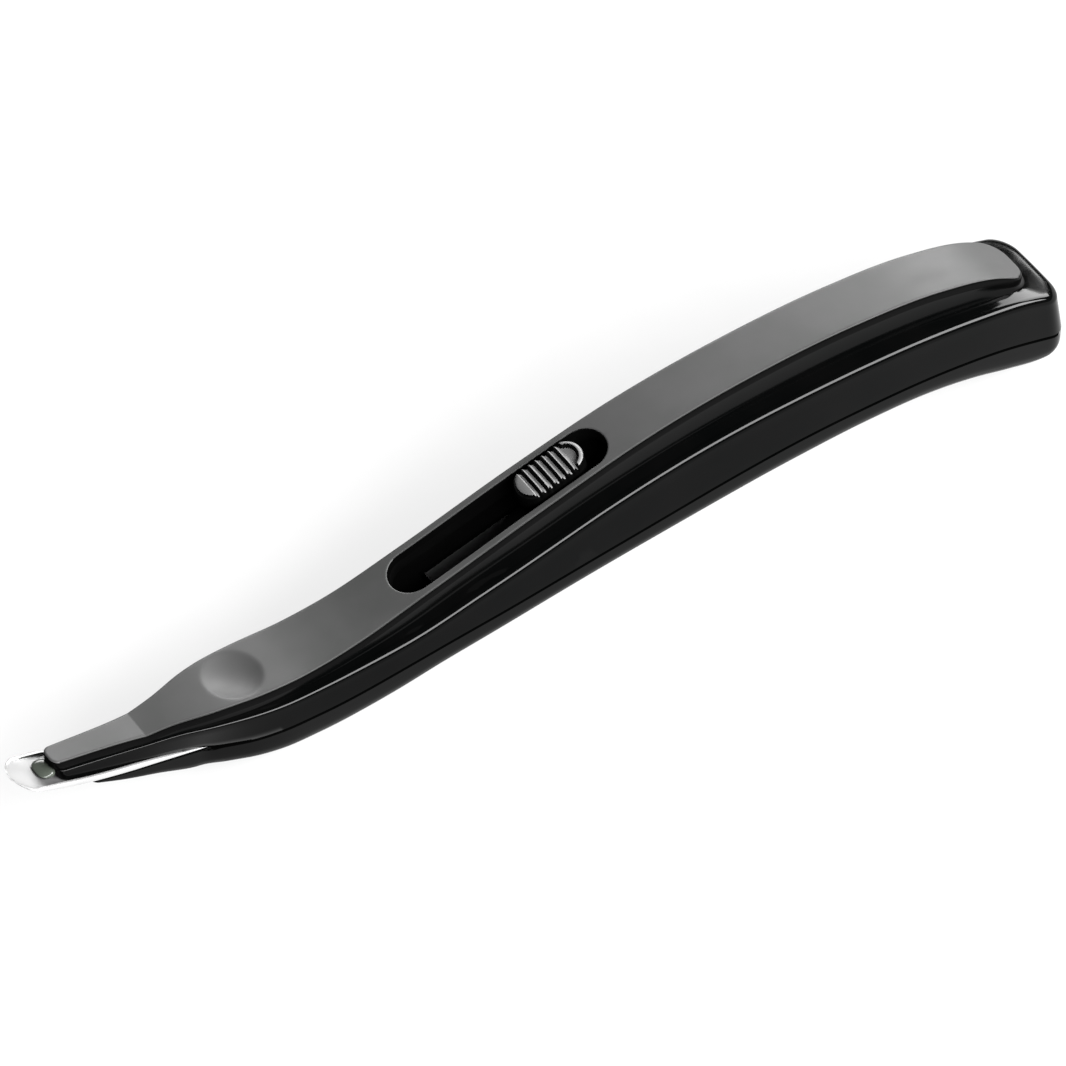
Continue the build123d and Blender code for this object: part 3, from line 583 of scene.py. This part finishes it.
# ------------------------------------------------------------------ the thumb button
SLOT_MIDDLE = (SLOT_FRONT + SLOT_REAR) / 2
RUN = SLOT_REAR - SLOT_FRONT - 6
RISE = back_z(SLOT_REAR - 3) - back_z(SLOT_FRONT + 3)
SLOPE = asin(RISE / hypot(RUN, RISE))


def on_slide(u, v, n):
    """Place at u along the slide, v across it and n out of it."""
    x = SLOT_MIDDLE + u * cos(SLOPE) - n * sin(SLOPE)
    z = back_z(SLOT_MIDDLE) + u * sin(SLOPE) + n * cos(SLOPE)
    return Vector((TIP + x * MM, v * MM, z * MM))


def make_button():
    """Smooth pad in front, rounded ribs across the middle, raised crescent behind a hollow."""
    first = (BUTTON_FRONT - SLOT_MIDDLE) / cos(SLOPE) + BUTTON_GAP
    last = (BUTTON_REAR - SLOT_MIDDLE) / cos(SLOPE) - BUTTON_GAP
    radius = BUTTON_WIDTH / 2 - BUTTON_GAP
    ribs_from = first + PAD_LENGTH
    ribs_to = ribs_from + RIB_COUNT * RIB_PITCH

    def surface(u, v):
        past = max(first + radius - u, u - last + radius, 0.0)
        inside = radius - hypot(past, v)
        height = BUTTON_PROUD - BUTTON_GAP - 0.1 * (v / radius)**2
        if ribs_from <= u <= ribs_to:
            phase = (u - ribs_from) / RIB_PITCH % 1.0
            height -= RIB_HEIGHT * (0.5 + 0.5 * cos(2 * pi * phase))**0.8
        elif u < ribs_from:
            height -= RIB_HEIGHT * ease(u, ribs_from - 0.45, ribs_from)
            height -= PAD_FALL * ((ribs_from - u) / PAD_LENGTH)**2
        else:
            crescent = 1 - ease(inside, 0.55, 0.95)
            height -= 1.1 * RIB_HEIGHT * (1 - crescent)
            height -= RIB_HEIGHT * (1 - ease(u, ribs_to, ribs_to + 0.3)) * crescent
        edge = 0.55 if u > ribs_to else 0.9
        if inside < edge:
            height -= edge * (1 - sqrt(max(1 - (1 - inside / edge)**2, 0.0)))
        return height

    lengthwise, across = 240, 36
    verts, faces = [], []
    for i in range(lengthwise + 1):
        share = i / lengthwise
        u = first + (last - first) * (share - 0.06 * sin(2 * pi * share))
        past = max(first + radius - u, u - last + radius, 0.0)
        half = sqrt(max(radius**2 - past**2, 0.0))
        for k in range(across + 1):
            v = half * sin(pi * (k / across - 0.5))
            verts.append(on_slide(u, v, surface(u, v)))
        verts.append(on_slide(u, half, BUTTON_BASE))
        verts.append(on_slide(u, -half, BUTTON_BASE))
    row = across + 3
    for i in range(lengthwise):
        a, b = i * row, (i + 1) * row
        for k in range(row):
            n = (k + 1) % row
            faces.append((a + k, a + n, b + n, b + k))
    button = mesh_piece("button_skin", verts, faces, BUTTON, "slider", "slide_button", 60)
    # painted shade: the steep flanks of the ribs get the dark shade black, so the grooves between
    # them stay dark
    paint_shade_by_normal(button, SHADE_BLACK, lambda normal: abs(normal.z) < 0.66)


# ------------------------------------------------------------------ the blade and its insert
def blade_half(x):
    """Half width of the blade: round tip, straight channel, narrower tang."""
    if x > TANG_START:
        return TANG_HALF
    radius = BLADE_WIDTH / 2 + 0.25
    return min(sqrt(max(radius**2 - (radius - min(x, radius))**2, 0.0)), BLADE_WIDTH / 2)


def blade_wall(x):
    """Height of the channel's walls: none at the tip, running out again towards the waist."""
    rise = ease(x, 0.6, 6.5) * (1 - ease(x, 16.0, 27.5)**0.8)
    return BLADE_SHEET + (BLADE_LIP - BLADE_SHEET) * rise


def make_blade():
    """Bright blade: scooped round tip, channel under the nose and flat tang inside."""
    # places along the blade: close together round the tip, wider in the channel and the tang
    reach = 2.38
    xs = [0.012 + reach * (1 - cos(0.5 * pi * k / 14)) for k in range(15)]
    xs += [reach + 0.5 * k for k in range(1, 56)] + [TANG_START, TANG_START + 0.1]
    xs += [TANG_START + k for k in range(1, int(TANG_END - TANG_START) + 1)]
    rings = []
    for x in xs:
        half, wall = blade_half(x), blade_wall(x)
        corner, thick = min(BLADE_CORNER, 0.4 * half), min(BLADE_SHEET, 0.35 * half)
        soft = 0.12 * min(1.0, half / 3)
        near = [(0, 0), (0.5 * half, 0)]
        for k in range(6):
            turn = 0.5 * pi * k / 5
            near.append((half - corner * (1 - sin(turn)), corner * (1 - cos(turn))))
        low = min(corner, BLADE_SHEET - soft)
        near[-1] = (half, low)
        near += [(half, max(wall - soft, low + 0.01)), (half - soft, wall), (half - thick, wall),
                 (half - thick - 0.5 * soft, max(wall - soft, BLADE_SHEET + 0.02)),
                 (half - thick - 0.1, BLADE_SHEET + 0.1 * (wall - BLADE_SHEET)),
                 (0.86 * (half - thick), BLADE_SHEET), (0.5 * half, BLADE_SHEET), (0, BLADE_SHEET)]
        loop = near + [(-y, z) for y, z in reversed(near[1:-1])]
        rings.append([Vector((TIP + x * MM, y * MM, (blade_z(x) + z) * MM)) for y, z in loop])
    verts, faces = loft(rings, caps=True)
    blade = mesh_piece("blade_skin", verts, faces, STEEL, "handle", "blade", 55)
    # painted shade: the blade's upward faces get the darker steel, dimming their reflection
    paint_shade_by_normal(blade, SHADE_STEEL, lambda normal: normal.z > 0.5)


def make_insert():
    """Rounded nib in front of the nose, lying in the blade's channel, its top level."""
    around, along = 24, 14
    blunt, boxy = 2.6, 0.85     # how square the nib is from the side and from the front
    verts, faces = [], []
    middle = (INSERT_FRONT + INSERT_REAR) / 2
    half_long = (INSERT_REAR - INSERT_FRONT) / 2
    high = blade_z(INSERT_FRONT + 1.2) + 1.5
    for i in range(along + 1):
        reach = sin(0.5 * pi * (2 * i / along - 1))
        x = middle + half_long * reach
        full = (1 - abs(reach)**blunt) ** (1 / blunt)
        low = blade_z(x) + BLADE_SHEET + HAIRLINE
        for k in range(around):
            a = 2 * pi * k / around
            y = INSERT_HALF * full * abs(cos(a))**boxy * (1 if cos(a) > 0 else -1)
            lift = full * abs(sin(a))**boxy * (1 if sin(a) > 0 else -1)
            z = (low + high) / 2 + (high - low) / 2 * lift
            verts.append(Vector((TIP + x * MM, y * MM, z * MM)))
    for i in range(along):
        for k in range(around):
            n = (k + 1) % around
            a, b = i * around, (i + 1) * around
            faces.append((a + k, a + n, b + n, b + k))
    mesh_piece("insert_nib", verts, faces, INSERT, "handle", "tip_insert", 60)


make_upper_shell()
make_lower_shell()
make_top_strip()
make_button()
make_blade()
make_insert()


# ------------------------------------------------------------------ floor, light and camera
PAPER = material("paper", grey(0.05), grey(0.052),
                 rough=0.9, rough_spread=0.03, grain=2.0, bump=0.004, specular=0.05)
# the paper gives off some light of its own, so it stays pale in the shadow
paper_shader = PAPER.node_tree.nodes["Principled BSDF"]
paper_shader.inputs["Emission Color"].default_value = (1, 1, 1, 1)
paper_shader.inputs["Emission Strength"].default_value = 0.76


def make_floor():
    """Large sheet of pale paper."""
    half = 3.0
    mesh = bpy.data.meshes.new("floor")
    corners = [(-half, -half, 0), (half, -half, 0), (half, half, 0), (-half, half, 0)]
    mesh.from_pydata(corners, [], [(0, 1, 2, 3)])
    mesh.materials.append(PAPER)
    obj = bpy.data.objects.new("floor", mesh)
    scene.collection.objects.link(obj)


make_floor()


def direction(azimuth, elevation):
    """From the object towards a place at this azimuth and elevation, in degrees."""
    a, e = radians(azimuth), radians(elevation)
    return Vector((sin(a) * cos(e), -cos(a) * cos(e), sin(e)))


def aim(obj, azimuth, elevation, distance, target=Vector((0, 0, 0))):
    """Put a camera or light at a place and turn it to the target."""
    obj.location = target + distance * direction(azimuth, elevation)
    obj.rotation_euler = direction(azimuth, elevation).to_track_quat("Z", "Y").to_euler()


CAMERA_AZIMUTH, CAMERA_ELEVATION, CAMERA_DISTANCE = -34.36, 49.5, 0.9
CAMERA_TARGET = Vector((-0.00165, 0, 0.01069))

camera = bpy.data.objects.new("camera", bpy.data.cameras.new("camera"))
camera.data.sensor_width = 36
camera.data.lens = 230.6
scene.collection.objects.link(camera)
aim(camera, CAMERA_AZIMUTH, CAMERA_ELEVATION, CAMERA_DISTANCE, CAMERA_TARGET)
scene.camera = camera

scene.view_settings.view_transform = "Standard"
world = bpy.data.worlds.new("world")
scene.world = world
world.use_nodes = True
background = world.node_tree.nodes["Background"]
background.inputs["Color"].default_value = (1, 1, 1, 1)
background.inputs["Strength"].default_value = 0.05


def softbox(name, azimuth, elevation, distance, width, height, power):
    """Rectangular light facing the object."""
    light = bpy.data.lights.new(name, "AREA")
    light.shape = "RECTANGLE"
    light.size, light.size_y = width, height
    light.energy = power
    obj = bpy.data.objects.new(name, light)
    scene.collection.objects.link(obj)
    aim(obj, azimuth, elevation, distance)


softbox("back_panel", azimuth=130, elevation=25, distance=1.3, width=1.6, height=0.5, power=62)
softbox("front_panel", azimuth=25, elevation=38, distance=1.5, width=3.0, height=0.6, power=312)
